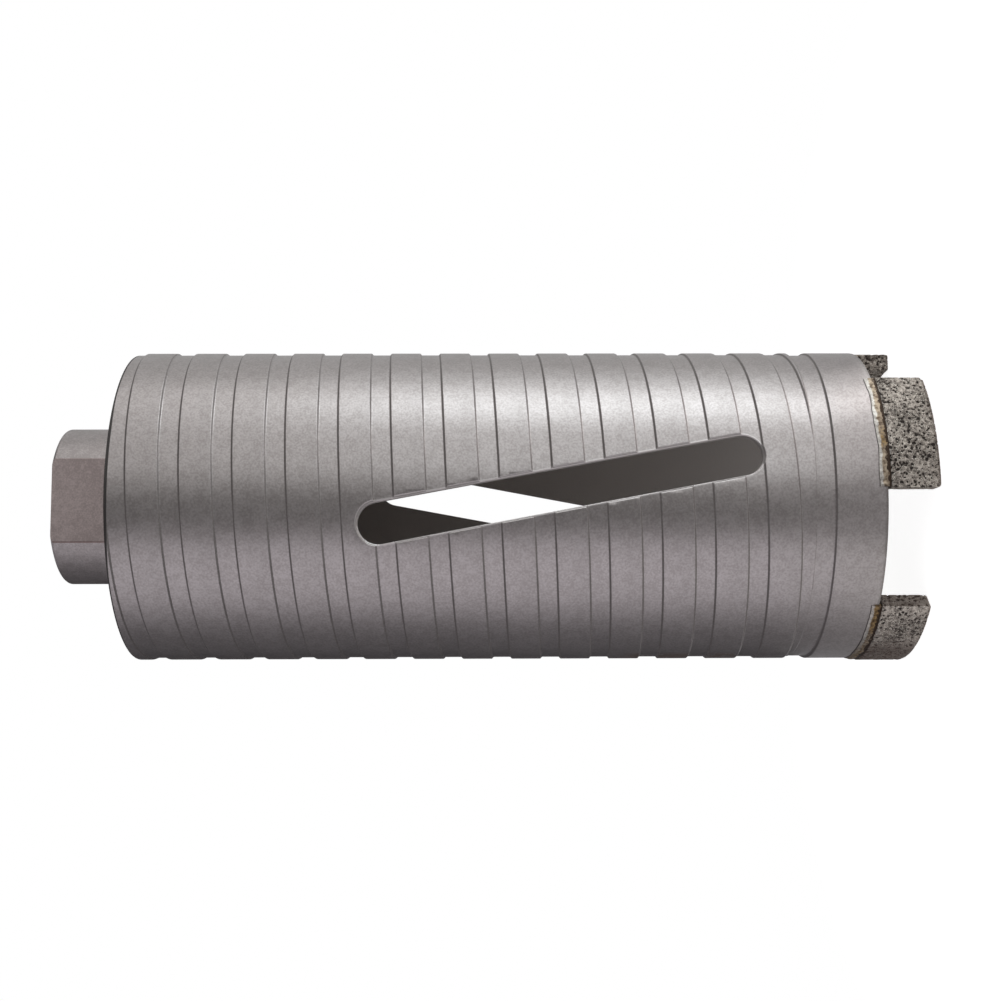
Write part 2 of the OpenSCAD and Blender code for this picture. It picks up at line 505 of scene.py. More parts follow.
def barrel_stations():
    """The rows of the barrel's skin, from the mouth up its outside and back down the bore.

    Each is (radius, rides, height): radius 0 leaves the radius to the tree, and a row
    that rides follows the helix round the barrel.
    """
    side = GROOVE_SIDE
    rows = [(BORE_R + INNER_EDGE, 0, MOUTH)]
    quarter = [math.radians(d) for d in (0, 22.5, 45, 67.5, 90)]
    for turn in quarter:
        rows.append((0, 0, MOUTH + EDGE * (1 - math.cos(turn))))
    for part in (0.2, 0.4, 0.6, 0.8):
        rows.append((0, 0, MOUTH + EDGE + (RING_LOW - side / 2 - MOUTH - EDGE) * part))
    # The steps of a groove's side, with a guard row at both its ends that keeps its shading
    # off the land and the floor
    steps = [-SIDE_GUARD, *[k / SIDE_STEPS for k in range(SIDE_STEPS + 1)], 1 + SIDE_GUARD]
    for edge in (RING_LOW, RING_HIGH):
        rows += [(0, 0, edge - side / 2 + side * step) for step in steps]
        if edge == RING_LOW:
            rows.append((0, 0, (RING_LOW + RING_HIGH) / 2))
    places = [-LAND_ROW]
    places += [-GROOVE_W / 2 - side / 2 + side * step for step in steps]
    places += [0]
    places += [GROOVE_W / 2 - side / 2 + side * step for step in steps]
    places += [LAND_ROW]
    low = RING_HIGH + side * RING_CLEAR
    high = BACK - EDGE
    first = RING_LOW + GROOVE_W / 2 - GROOVE_PITCH * GROOVE_START / TURN
    for k in range(-1, math.ceil((high - first) / GROOVE_PITCH) + 2):
        for place in places:
            z = first + GROOVE_PITCH * k + place
            if low - GROOVE_PITCH - side < z < high + side:
                rows.append((0, 1, z))
    for turn in reversed(quarter):
        rows.append((0, 0, BACK - EDGE * (1 - math.cos(turn))))
    rows.append((BORE_R + INNER_EDGE, 0, BACK))
    rows.append((BORE_R, 0, BACK - INNER_EDGE))
    for part in (0.25, 0.5, 0.75):
        rows.append((BORE_R, 0, BACK - (BACK - MOUTH) * part))
    rows.append((BORE_R, 0, MOUTH + INNER_EDGE))
    rows.append((BORE_R + INNER_EDGE, 0, MOUTH))
    return rows


def barrel_tree(material):
    """The rule of the barrel's skin: a ring groove, and a helical one that rises out of it."""
    tree, given = shape_tree("barrel_shape", {
        "Rows": "Object", "Slot 1": "Object", "Slot 2": "Object",
        "Columns": "Int", "Row Count": "Int",
        "Radius": "Float", "Edge": "Float", "Mouth": "Float", "Back": "Float",
        "Pitch": "Float", "Groove Width": "Float", "Groove Depth": "Float",
        "Groove Side": "Float", "Groove Start": "Float",
        "Ring Low": "Float", "Ring High": "Float", "Ring Depth": "Float"})
    grid, part, angle, fixed, rides, height = turned_grid(tree, given)
    side = given["Groove Side"]
    low = given["Ring High"] + side * RING_CLEAR
    high = given["Back"] - given["Edge"]
    lifted = clamped(height + given["Pitch"] * part, low, high)
    z = rides * lifted + (1.0 - rides) * height
    # The rounded edges at both ends
    near = clamped(lowest(z - given["Mouth"], given["Back"] - z) / given["Edge"], 0.0, 1.0)
    left = 1.0 - near
    curve = calc(tree, "SQRT", clamped(1.0 - left * left, 0.0, 1.0))
    rim = given["Radius"] - given["Edge"] * (1.0 - curve)
    # The ring groove near the mouth
    ring_in = eased((z - (given["Ring Low"] - side * 0.5)) / side)
    ring_out = eased(((given["Ring High"] + side * 0.5) - z) / side)
    ring = given["Radius"] - given["Ring Depth"] * ring_in * ring_out
    # The helical groove above it
    rise = (z - given["Ring Low"] - given["Groove Width"] * 0.5) / given["Pitch"]
    turns = rise - (angle - given["Groove Start"]) / TURN
    turns_off = turns - calc(tree, "ROUND", turns)
    off = calc(tree, "ABSOLUTE", turns_off) * given["Pitch"]
    sunk = eased((given["Groove Width"] * 0.5 + side * 0.5 - off) / side)
    middle = (given["Ring Low"] + given["Ring High"]) * 0.5
    above = calc(tree, "GREATER_THAN", z, middle)
    helix = given["Radius"] - given["Groove Depth"] * sunk * above
    skin = lowest(rim, ring, helix)
    is_fixed = calc(tree, "GREATER_THAN", fixed, 0.0)
    radius = is_fixed * fixed + (1.0 - is_fixed) * skin
    # Painted shade on the grooves' sloping sides lies on all of the side that faces the hub, and on the
    # top of the side that faces the mouth, or on all of it on the sides turned away from +X
    deep = clamped((given["Radius"] - skin) / given["Groove Depth"], 0.0, 1.0)
    over_helix = calc(tree, "LESS_THAN", turns_off, 0.0)
    over_ring = calc(tree, "LESS_THAN", z, middle)
    in_ring = calc(tree, "LESS_THAN", z, given["Ring High"] + side)
    faces_hub = in_ring * over_ring + (1.0 - in_ring) * over_helix
    whole = eased(5.98 * deep * (1.0 - deep))
    top_only = 0.92 * eased(1.0 - calc(tree, "ABSOLUTE", deep - 0.3) / 0.36)
    low_side = eased((0.4 - calc(tree, "COSINE", angle)) / 0.3)
    faces_mouth = calc(tree, "MAXIMUM", top_only, whole * low_side * 0.85)
    painted_shade = (faces_hub * whole + (1.0 - faces_hub) * faces_mouth) * (1.0 - is_fixed)
    marked = store(tree, grid, "groove_dirt", painted_shade)
    closed = turned_skin(tree, marked, radius, angle, z)
    cut = cut_out(tree, closed, given, "Slot 1", "Slot 2")
    marked = store(tree, cut, "cut_side", cut_face(tree, given), domain="FACE")
    close_tree(tree, sharpened(tree, marked, TURNED_CREASE), material)
    return tree


def cut_face(tree, given):
    """Which faces a slot's cut has left: those that run in towards the axis, off the rims."""
    place = add(tree, "GeometryNodeInputPosition")
    facing = add(tree, "GeometryNodeInputNormal")
    flat = vector_calc(tree, "MULTIPLY", place, (1, 1, 0))
    outward = dot(tree, facing, vector_calc(tree, "NORMALIZE", flat))
    inward = calc(tree, "LESS_THAN", calc(tree, "ABSOLUTE", outward), 0.5)
    radius = Num(tree, vector_calc(tree, "LENGTH", flat).outputs["Value"])
    in_wall = calc(tree, "LESS_THAN", radius, given["Radius"] - 0.7 * MM)
    z = parts_of(tree, place)[2]
    from_end = lowest(z - given["Mouth"], given["Back"] - z)
    return inward * in_wall * calc(tree, "GREATER_THAN", from_end, 0.5 * MM)


def make_barrel(material):
    """The barrel, with its grooves and both slots."""
    rows = barrel_stations()
    helpers = [new_object("barrel_rows", point_mesh("barrel_rows", rows))]
    for k, middle in enumerate(SLOT_ANGLES):
        helpers.append(slot_cutter(f"slot_cutter_{k + 1}", middle))
    barrel = grown("barrel_skin", barrel_tree(material), {
        "Rows": helpers[0], "Slot 1": helpers[1], "Slot 2": helpers[2],
        "Columns": BARREL_COLUMNS, "Row Count": len(rows),
        "Radius": BARREL_R, "Edge": EDGE, "Mouth": MOUTH, "Back": BACK,
        "Pitch": GROOVE_PITCH, "Groove Width": GROOVE_W, "Groove Depth": GROOVE_DEPTH,
        "Groove Side": GROOVE_SIDE, "Groove Start": GROOVE_START,
        "Ring Low": RING_LOW, "Ring High": RING_HIGH, "Ring Depth": RING_DEPTH})
    discard(helpers)
    settle(barrel, material, "paint", "barrel")


# Hub

def hub_stations():
    """The rows of the hub: up its outside, over its end and down its threaded bore."""
    rows = [(SPIGOT_R, 0, SPIGOT_Z), (SPIGOT_R, 0, BACK), (HUB_R, 0, BACK)]
    for degrees in range(0, 91, 15):
        turn = math.radians(degrees)
        radius = HUB_R - HUB_RIM * (1 - math.cos(turn))
        rows.append((radius, 0, TOP - HUB_RIM * (1 - math.sin(turn))))
    rows.append((THREAD_MOUTH, 0, TOP))
    # Each turn of the thread has a flat root, a flank, a flat crest and a flank
    for k in range(math.ceil((TOP - SPIGOT_Z) / THREAD_PITCH) + 1, -3, -1):
        for off in (RIDGE_FOOT, RIDGE_CREST, 0, -RIDGE_CREST, -RIDGE_FOOT):
            rows.append((0, 1, SPIGOT_Z + THREAD_PITCH * (k + 0.5 + off)))
    rows.append((THREAD_MOUTH, 0, SPIGOT_Z))
    rows.append((SPIGOT_R, 0, SPIGOT_Z))
    return rows


def hub_tree(material):
    """The rule of the hub: a turned head on a spigot, with a right-handed thread in its bore."""
    tree, given = shape_tree("hub_shape", {
        "Rows": "Object", "Flat 1": "Object", "Flat 2": "Object",
        "Columns": "Int", "Row Count": "Int", "Low": "Float", "High": "Float",
        "Pitch": "Float", "Root": "Float", "Crest": "Float", "Mouth": "Float"})
    grid, part, angle, fixed, rides, height = turned_grid(tree, given)
    lifted = clamped(height + given["Pitch"] * part, given["Low"], given["High"])
    z = rides * lifted + (1.0 - rides) * height
    turns = (z - given["Low"]) / given["Pitch"] - part
    off = calc(tree, "ABSOLUTE", turns - calc(tree, "FLOOR", turns) - 0.5)
    ridge = clamped((RIDGE_FOOT - off) / (RIDGE_FOOT - RIDGE_CREST), 0.0, 1.0)
    thread = given["Root"] - (given["Root"] - given["Crest"]) * ridge
    # The bevels at both ends of the bore run through the thread
    near = lowest(z - given["Low"], given["High"] - z)
    bore = calc(tree, "MAXIMUM", thread, given["Mouth"] - near)
    is_fixed = calc(tree, "GREATER_THAN", fixed, 0.0)
    radius = is_fixed * fixed + (1.0 - is_fixed) * bore
    cut = cut_out(tree, turned_skin(tree, grid, radius, angle, z), given, "Flat 1", "Flat 2")
    close_tree(tree, sharpened(tree, cut, TURNED_CREASE), material)
    return tree


def flat_cutter(name, side):
    """What one wrench flat takes off the hub's head."""
    mesh = bpy.data.meshes.new(name)
    work = bmesh.new()
    bmesh.ops.create_cube(work, size=1)
    reach = Vector((FLAT_CUT, 3 * HUB_R, TOP - BACK + FLAT_OVER))
    height = (TOP + BACK + FLAT_OVER) / 2 + FLAT_CLEAR
    middle = Vector((side * (HUB_FLATS + FLAT_CUT) / 2, 0, height))
    turned = Matrix.Rotation(HUB_ANGLE, 4, "Z")
    placed = turned @ Matrix.Translation(middle) @ Matrix.Diagonal((*reach, 1))
    bmesh.ops.transform(work, matrix=placed, verts=work.verts)
    work.to_mesh(mesh)
    work.free()
    return new_object(name, mesh)


def make_hub(material):
    """The hub, with its thread and both wrench flats."""
    rows = hub_stations()
    helpers = [new_object("hub_rows", point_mesh("hub_rows", rows))]
    helpers += [flat_cutter("flat_cutter_1", 1), flat_cutter("flat_cutter_2", -1)]
    hub = grown("hub_skin", hub_tree(material), {
        "Rows": helpers[0], "Flat 1": helpers[1], "Flat 2": helpers[2],
        "Columns": HUB_COLUMNS, "Row Count": len(rows), "Low": SPIGOT_Z, "High": TOP,
        "Pitch": THREAD_PITCH, "Root": THREAD_ROOT, "Crest": THREAD_CREST, "Mouth": THREAD_MOUTH})
    discard(helpers)
    settle(hub, material, "hub_paint", "hub")


# Weld

def weld_stations():
    """The rows of the weld's section: its hollow face, then back along the plate and the spigot."""
    rows = []
    for k in range(WELD_STEPS + 1):
        part = k / WELD_STEPS
        sag = WELD_SAG * math.sin(math.pi * part)
        radius = SPIGOT_R + WELD_LEG * part - sag * 0.4
        rows.append((radius, 1, PLATE_Z - WELD_LEG * (1 - part) + sag))
    rows.append((SPIGOT_R, 0, PLATE_Z))
    rows.append(rows[0])
    return rows


def weld_tree(material):
    """The rule of the weld: ripples that follow one another round the spigot."""
    tree, given = shape_tree("weld_shape", {
        "Rows": "Object", "Columns": "Int", "Row Count": "Int", "Ripples": "Float",
        "Ripple Depth": "Float", "Inner": "Float", "Leg": "Float"})
    grid, part, angle, fixed, rides, height = turned_grid(tree, given)
    across = (fixed - given["Inner"]) / given["Leg"]
    bow = 4.0 * across * (1.0 - across)
    wave = part * given["Ripples"] + RIPPLE_TRAIL * bow
    through = wave - calc(tree, "FLOOR", wave)
    lift = given["Ripple Depth"] * bow * (through * through - 0.3)
    closed = turned_skin(tree, grid, fixed + lift * rides, angle, height - lift * rides)
    close_tree(tree, sharpened(tree, closed, LUMPY_CREASE), material)
    return tree


def make_weld(material):
    """The weld round the end of the spigot, under the plate."""
    rows = weld_stations()
    helper = new_object("weld_rows", point_mesh("weld_rows", rows))
    weld = grown("weld_bead", weld_tree(material), {
        "Rows": helper, "Columns": WELD_COLUMNS, "Row Count": len(rows),
        "Ripples": float(WELD_RIPPLES), "Ripple Depth": RIPPLE_DEPTH,
        "Inner": SPIGOT_R, "Leg": WELD_LEG})
    discard([helper])
    settle(weld, material, "weld", "hub_weld")


# Segments and braze

def pit_rule(tree, place, seed, size):
    """How far a place lies in a pit: 0 on the plain face, 1 at the bottom, two sizes of pit."""
    bend = add(tree, "ShaderNodeTexNoise", {"Vector": place, "Scale": 1.6 / size, "Detail": 1.0})
    even = vector_calc(tree, "SUBTRACT", bend.outputs["Color"], (0.5, 0.5, 0.5))
    apart = add(tree, "ShaderNodeCombineXYZ", {0: seed * size, 1: seed * size * 1.7, 2: 0.0})
    bent = vector_calc(tree, "ADD", place, scaled(tree, even, 0.45 * size))
    bent = vector_calc(tree, "ADD", bent, apart)
    crowd = noise(tree, bent, 0.28 / size, 2.0) - 0.5
    holes = []
    for finer, share, reach in ((1.0, 0.6, 0.46), (1.7, 0.55, 0.42)):
        cells = add(tree, "ShaderNodeTexVoronoi", {"Vector": bent, "Scale": finer / size})
        luck, girth, _ = parts_of(tree, cells.outputs["Color"])
        hole = eased((reach * (0.7 + 0.5 * girth) - Num(tree, cells.outputs["Distance"])) / 0.16)
        holes.append(hole * calc(tree, "LESS_THAN", luck, crowd * 1.6 + share))
    return calc(tree, "MAXIMUM", *holes)


def segment_tree(material):
    """Pits in the sintered face of a segment, none near its root."""
    tree, given = shape_tree("segment_shape", {
        "Pit Size": "Float", "Pit Depth": "Float", "Waviness": "Float", "Root": "Float",
        "Seed": "Float"})
    place = add(tree, "GeometryNodeInputPosition")
    facing = add(tree, "GeometryNodeInputNormal")
    hole = pit_rule(tree, place, given["Seed"], given["Pit Size"])
    wavy = noise(tree, place, 0.5 / given["Pit Size"], 3.0, given["Seed"])
    below_root = given["Root"] - parts_of(tree, place)[2]
    plain = eased((below_root + (wavy - 0.5) * 5 * MM) / (0.6 * MM))
    # The faces at both ends of the segment look along its arc
    outward = vector_calc(tree, "NORMALIZE", vector_calc(tree, "MULTIPLY", place, (1, 1, 0)))
    along = dot(tree, facing, vector_calc(tree, "CROSS_PRODUCT", (0, 0, 1), outward))
    end = eased((calc(tree, "ABSOLUTE", along) - 0.45) / 0.3)
    depth = hole * plain * given["Pit Depth"] + (0.8 - wavy) * given["Waviness"]
    kept = store(tree, given["Geometry"], "pitted", plain)
    kept = store(tree, kept, "rest", place, kind="FLOAT_VECTOR")
    kept = store(tree, kept, "seed", given["Seed"])
    kept = store(tree, kept, "end_side", end)
    moved = add(tree, "GeometryNodeSetPosition", {
        "Geometry": kept, "Offset": scaled(tree, facing, depth * -1.0)})
    close_tree(tree, sharpened(tree, moved, PITTED_CREASE), material)
    return tree


def even_copy(node, voxel):
    """A mesh of even small faces in the shape of a CAD node."""
    start = new_object(node + "_start", merged_copy(node, node + "_start"))
    remesh = start.modifiers.new("even", "REMESH")
    remesh.mode = "VOXEL"
    remesh.voxel_size = voxel
    depsgraph = bpy.context.evaluated_depsgraph_get()
    even = bpy.data.meshes.new_from_object(start.evaluated_get(depsgraph), depsgraph=depsgraph)
    bpy.data.objects.remove(start)
    return even


def make_segment(number, tree, material):
    """One segment, pitted all over but for its root."""
    node = f"segment_{number}"
    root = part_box(node)[1].z
    piece = grown(f"segment_skin_{number}", tree, {
        "Pit Size": PIT_SIZE, "Pit Depth": PIT_DEPTH, "Waviness": SEGMENT_WAVINESS,
        "Root": root + 0.5 * MM, "Seed": 3.7 * number}, start=even_copy(node, SEGMENT_VOXEL))
    settle(piece, material, "segment", node)


def braze_fillet(foot, top, swell, steps):
    """The braze's face from the segment up to its thin edge on the barrel's wall."""
    points = []
    for k in range(1, steps + 1):
        part = k / steps
        radius = foot + (top - foot) * part + swell * math.sin(math.pi * part)
        points.append((radius, MOUTH + BRAZE_RISE * part, part))
    return points


def braze_section(root):
    """The section of the braze: radius, height, and how far up its fillets each point lies."""
    out_r = CUT_R - BRAZE_INSET
    in_r = CUT_R - SEGMENT_T + BRAZE_INSET
    # Up the outside from under the segment to the thin edge on the barrel
    section = [(out_r, root, -0.3), (out_r, root + 0.25 * MM, -0.15)]
    section += braze_fillet(out_r, BARREL_R + EDGE_OUTSIDE, SWELL_OUTSIDE, STEPS_OUTSIDE)
    # Down inside the wall, under the mouth and up inside the wall again
    wall_out = BARREL_R - BRAZE_BURIED
    wall_in = BORE_R + BRAZE_BURIED
    under = MOUTH - BRAZE_UNDER
    section += [
        (wall_out, MOUTH + BRAZE_RISE * 1.02, 1), (wall_out, MOUTH + EDGE, 0),
        (BARREL_R - EDGE, under, 0), (BORE_R + EDGE, under, 0),
        (wall_in, MOUTH + EDGE, 0), (wall_in, MOUTH + BRAZE_RISE, 1)]
    # Down the fillet in the bore, to the segment
    section += reversed(braze_fillet(in_r, BORE_R - EDGE_INSIDE, -SWELL_INSIDE, STEPS_INSIDE))
    section += [(in_r, MOUTH - 0.2 * MM, 0), (in_r, root, 0)]
    return section


def braze_start(number):
    """The braze under one segment, as its section swept along an arc a little shorter."""
    section = braze_section(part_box(f"segment_{number}")[1].z)
    half = (SEGMENT_ARC - BRAZE_SHORT / CUT_R) / 2
    rings = []
    rises = []
    for k in range(BRAZE_STEPS + 1):
        turn = SEGMENT_ANGLES[number - 1] + half * (2 * k / BRAZE_STEPS - 1)
        rings.append([(r * math.cos(turn), r * math.sin(turn), z) for r, z, rise in section])
        rises += [rise for r, z, rise in section]
    mesh = loft(f"braze_{number}_start", rings)
    kept = mesh.attributes.new("rise", "FLOAT", "POINT")
    kept.data.foreach_set("value", rises)
    return mesh


def braze_tree(material):
    """Lumps that the braze sets in, and its edge wandering up and down the barrel."""
    tree, given = shape_tree("braze_shape", {
        "Lump Size": "Float", "Lump Height": "Float", "Wander": "Float", "Seed": "Float"})
    place = add(tree, "GeometryNodeInputPosition")
    facing = add(tree, "GeometryNodeInputNormal")
    kept = add(tree, "GeometryNodeInputNamedAttribute", {"Name": "rise"}, data_type="FLOAT")
    rise = clamped(Num(tree, kept.outputs["Attribute"]), 0.0, 1.0)
    lump = noise(tree, place, 1.0 / given["Lump Size"], 2.0, given["Seed"])
    slow = noise(tree, place, 0.35 / given["Lump Size"], 1.0, given["Seed"])
    # Lumps rise in the middle of a fillet, and its thin edge stays down on the barrel
    height = (lump - 0.6) * given["Lump Height"] * 4.0 * (rise + 0.12) * (1.0 - rise)
    climb = add(tree, "ShaderNodeCombineXYZ", {
        0: 0.0, 1: 0.0, 2: (slow - 0.5) * rise * given["Wander"]})
    both = vector_calc(tree, "ADD", scaled(tree, facing, height), climb)
    moved = add(tree, "GeometryNodeSetPosition", {"Geometry": given["Geometry"], "Offset": both})
    close_tree(tree, sharpened(tree, moved, LUMPY_CREASE), material)
    return tree


def make_braze(number, tree, material):
    """The braze between one segment and the barrel's mouth."""
    piece = grown(f"braze_skin_{number}", tree, {
        "Lump Size": BRAZE_LUMP, "Lump Height": BRAZE_LUMP_HEIGHT, "Wander": BRAZE_WANDER,
        "Seed": 1.9 * number}, start=braze_start(number))
    settle(piece, material, "braze", f"braze_{number}")


# Materials

# Angles from the front, each a little under a quarter turn back: the middle of the rubbed patches where
# the bit has lain on its side, and of the darker colour on the lower side at the mouth
RUBBED_ANGLE = -1.46
RUBBED_HEIGHT = 48 * MM
LOW_SIDE_ANGLE = -1.55


def material(name, **uniform):
    """A Principled material, with what is the same all over set on the shader's own sockets."""
    made = bpy.data.materials.new(name)
    made.use_nodes = True
    tree = made.node_tree
    tree.nodes.clear()
    shader = add(tree, "ShaderNodeBsdfPrincipled")
    leave = add(tree, "ShaderNodeOutputMaterial")
    tree.links.new(shader.outputs[0], leave.inputs["Surface"])
    for key, value in uniform.items():
        shader.inputs[key.replace("_", " ")].default_value = value
    return made, tree, shader


def object_place(tree):
    """Where a place lies on its piece. Every piece has the bit's axis on its own Z."""
    return add(tree, "ShaderNodeTexCoord").outputs["Object"]


def ramp(tree, value, *stops):
    """A colour that goes through (place, colour) stops."""
    node = add(tree, "ShaderNodeValToRGB", {"Fac": value})
    line = node.color_ramp
    while len(line.elements) < len(stops):
        line.elements.new(0.5)
    for element, (spot, colour) in zip(line.elements, stops):
        element.position = spot
        element.color = (*colour, 1)
    return node.outputs["Color"]


def shader_group(name, inputs, outputs):
    """An empty shader node group with named sockets, and its inputs."""
    tree = bpy.data.node_groups.new(name, "ShaderNodeTree")
    for key, kind in inputs.items():
        tree.interface.new_socket(key, in_out="INPUT", socket_type="NodeSocket" + kind)
    for key, kind in outputs.items():
        tree.interface.new_socket(key, in_out="OUTPUT", socket_type="NodeSocket" + kind)
    entry = add(tree, "NodeGroupInput")
    leave = add(tree, "NodeGroupOutput")
    given = {key: entry.outputs[key] for key in inputs}
    return tree, given, leave


def use(tree, group, **inputs):
    """A shared node group used in a material, by the names of its sockets."""
    node = tree.nodes.new("ShaderNodeGroup")
    node.node_tree = group
    for key, value in inputs.items():
        feed(tree, node.inputs[key], value)
    return node


def mixed(tree, part, first, second):
    """One colour faded into another."""
    node = add(tree, "ShaderNodeMix", {"Factor": part}, data_type="RGBA")
    # The node's two colours are its inputs 6 and 7
    for place, colour in ((6, first), (7, second)):
        if isinstance(colour, tuple):
            node.inputs[place].default_value = (*colour, 1)
        else:
            feed(tree, node.inputs[place], colour)
    return node.outputs[2]


def grain_group():
    """Shared by every finish: a fine grain, a coarser one and broad soft patches, each 0 to 1."""
    tree, given, leave = shader_group("grain", {"Vector": "Vector", "Size": "Float"},
        {"Fine": "Float", "Coarse": "Float", "Broad": "Float"})
    size = Num(tree, given["Size"])
    for key, finer, detail in (("Fine", 1.0, 1.0), ("Coarse", 0.22, 3.0), ("Broad", 0.02, 2.0)):
        feed(tree, leave.inputs[key], noise(tree, given["Vector"], finer / size, detail))
    return tree


def place_group():
    """Shared by the turned pieces: the radius, the height and the angle from the front."""
    tree, given, leave = shader_group("place_round_the_axis", {"Vector": "Vector"},
        {"Radius": "Float", "Height": "Float", "Angle": "Float"})
    x, y, z = parts_of(tree, given["Vector"])
    feed(tree, leave.inputs["Radius"], calc(tree, "SQRT", x * x + y * y))
    feed(tree, leave.inputs["Height"], z)
    feed(tree, leave.inputs["Angle"], calc(tree, "ARCTAN2", x, y * -1.0))
    return tree


def slot_group():
    """Used for both slots: how far a place on the wall lies outside a slot's outline."""
    tree, given, leave = shader_group("slot_distance", {"Vector": "Vector", "Turn": "Float"},
        {"Distance": "Float"})
    x, y, z = parts_of(tree, given["Vector"])
    cosine = calc(tree, "COSINE", given["Turn"])
    sine = calc(tree, "SINE", given["Turn"])
    other_side = calc(tree, "LESS_THAN", x * cosine + y * sine, 0.0)
    t = y * cosine - x * sine
    rise = z - SLOT_HEIGHT
    along = rise * math.cos(SLOT_LEAN) - t * math.sin(SLOT_LEAN)
    across = t * math.cos(SLOT_LEAN) + rise * math.sin(SLOT_LEAN)
    past = calc(tree, "MAXIMUM", calc(tree, "ABSOLUTE", along) - (SLOT_LEN - SLOT_W) / 2, 0.0)
    reach = calc(tree, "SQRT", past * past + across * across) - SLOT_W / 2
    feed(tree, leave.inputs["Distance"], reach + other_side)
    return tree


def pit_group():
    """Shared by the segments: the same pits as in their shape, and bright specks of metal."""
    tree, given, leave = shader_group("pits", {"Vector": "Vector", "Seed": "Float", "Size": "Float"},
        {"Pit": "Float", "Speck": "Float"})
    size = Num(tree, given["Size"])
    seed = Num(tree, given["Seed"])
    feed(tree, leave.inputs["Pit"], pit_rule(tree, given["Vector"], seed, size))
    cells = add(tree, "ShaderNodeTexVoronoi", {"Vector": given["Vector"], "Scale": 3.4 / size})
    luck = parts_of(tree, cells.outputs["Color"])[0]
    near = eased((0.46 - Num(tree, cells.outputs["Distance"])) / 0.2)
    feed(tree, leave.inputs["Speck"], near * calc(tree, "LESS_THAN", luck, 0.2))
    return tree


def attribute(tree, name):
    """A number that the piece's own shape keeps under a name."""
    return Num(tree, add(tree, "ShaderNodeAttribute", attribute_name=name).outputs["Fac"])


def bumped(tree, shader, height, strength, distance):
    """Gives the shader a fine relief."""
    bump = add(tree, "ShaderNodeBump", {"Height": height, "Strength": strength, "Distance": distance})
    feed(tree, shader.inputs["Normal"], bump)


def paint_material(groups):
    """Silver paint: fine flakes, painted shade on the grooves' sides and at the back's edge, a bare band
    at the mouth, slot edges lightened by wear and a painted highlight, and painted light in the bore and
    on the slots' cut faces.
    """
    made, tree, shader = material("silver_paint", IOR=1.5, Coat_Weight=0.25, Coat_Roughness=0.2)
    where = object_place(tree)
    grain = use(tree, groups["grain"], Vector=where, Size=0.42 * MM)
    spot = use(tree, groups["place"], Vector=where)
    fine, coarse, broad = [Num(tree, grain.outputs[k]) for k in range(3)]
    radius, height, angle = [Num(tree, spot.outputs[k]) for k in range(3)]
    flakes = clamped(fine * 0.65 + coarse * 0.35 + (broad - 0.5) * 0.14, 0.0, 1.0)
    colour = ramp(tree, flakes, (0.38, (0.365, 0.33, 0.319)), (0.62, (0.475, 0.436, 0.427)))
    # Bare metal and heat stain in a narrow band at the mouth
    band = 1.0 - eased((height - MOUTH - 0.4 * MM + (coarse - 0.5) * 0.5 * MM) / (0.25 * MM))
    colour = mixed(tree, band * 0.6, colour, (0.24, 0.225, 0.21))
    # Lands rubbed brown where the bit has lain on its side
    lands = eased((radius - BARREL_R + 0.15 * MM) / (0.1 * MM))
    low_side = 1.0 - eased((calc(tree, "ABSOLUTE", angle - RUBBED_ANGLE) - 0.2) / 0.1)
    along = 1.0 - eased((calc(tree, "ABSOLUTE", height - RUBBED_HEIGHT) - 10 * MM) / (5 * MM))
    rubbed = lands * low_side * along * eased((coarse + (broad - 0.5) - 0.36) / 0.2)
    colour = mixed(tree, rubbed * 0.75, colour, (0.15, 0.105, 0.08))
    # The slots' outer edges are paler: worn paint, and a painted highlight
    slots = [use(tree, groups["slot"], Vector=where, Turn=turn) for turn in SLOT_ANGLES]
    near = lowest(*[Num(tree, slot.outputs["Distance"]) for slot in slots])
    worn_and_highlight = eased((0.5 * MM - near) / (0.2 * MM))
    worn_and_highlight = worn_and_highlight * eased((radius - BARREL_R + 0.8 * MM) / (0.1 * MM))
    colour = mixed(tree, worn_and_highlight * 0.65, colour, (0.74, 0.7, 0.68))
    # Painted shade on the sloping sides of the grooves, and a painted shadow along the outer edge of the
    # back, wider at the front
    outside = eased((radius - BARREL_R + 0.55 * MM) / (0.1 * MM))
    front = 1.0 - eased((calc(tree, "ABSOLUTE", angle - 0.15) - 0.3) / 0.3)
    edge = outside * eased((height - BACK + (0.4 + 0.25 * front) * MM) / (0.15 * MM))
    painted_shade = calc(tree, "MAXIMUM", attribute(tree, "groove_dirt") * (1.0 - worn_and_highlight), edge)
    colour = mixed(tree, painted_shade * 0.72, colour, (0.175, 0.16, 0.15))
    # Nearly black along the back's edge: a painted shadow of the gap by the hub
    colour = mixed(tree, edge * 0.92, colour, (0.035, 0.03, 0.028))
    # The bore and the slots' cut faces have a thin, rougher coat of paint, painted paler to stand in for
    # light and darker towards the mouth as painted shade
    inside = 1.0 - eased((radius - BORE_R - 0.05 * MM) / (0.3 * MM))
    inside = inside * eased((PLATE_Z + 2 * MM - height) / MM)
    painted_light_faces = calc(tree, "MAXIMUM", inside, attribute(tree, "cut_side"))
    inner_painted_light_and_shade = mixed(tree, eased((height - 0.02) / 0.07), (0.43, 0.4, 0.385), (0.55, 0.512, 0.49))
    colour = mixed(tree, painted_light_faces, colour, inner_painted_light_and_shade)
    feed(tree, shader.inputs["Base Color"], colour)
    feed(tree, shader.inputs["Metallic"], 0.85 - painted_light_faces * 0.72 - painted_shade * 0.25)
    rough = 0.31 + (coarse - 0.5) * 0.06 + painted_shade * 0.3 + painted_light_faces * 0.25 + rubbed * 0.25 + worn_and_highlight * 0.12
    feed(tree, shader.inputs["Roughness"], rough)
    bumped(tree, shader, fine * 0.7 + coarse * 0.3, 0.52, 0.05 * MM)
    return made


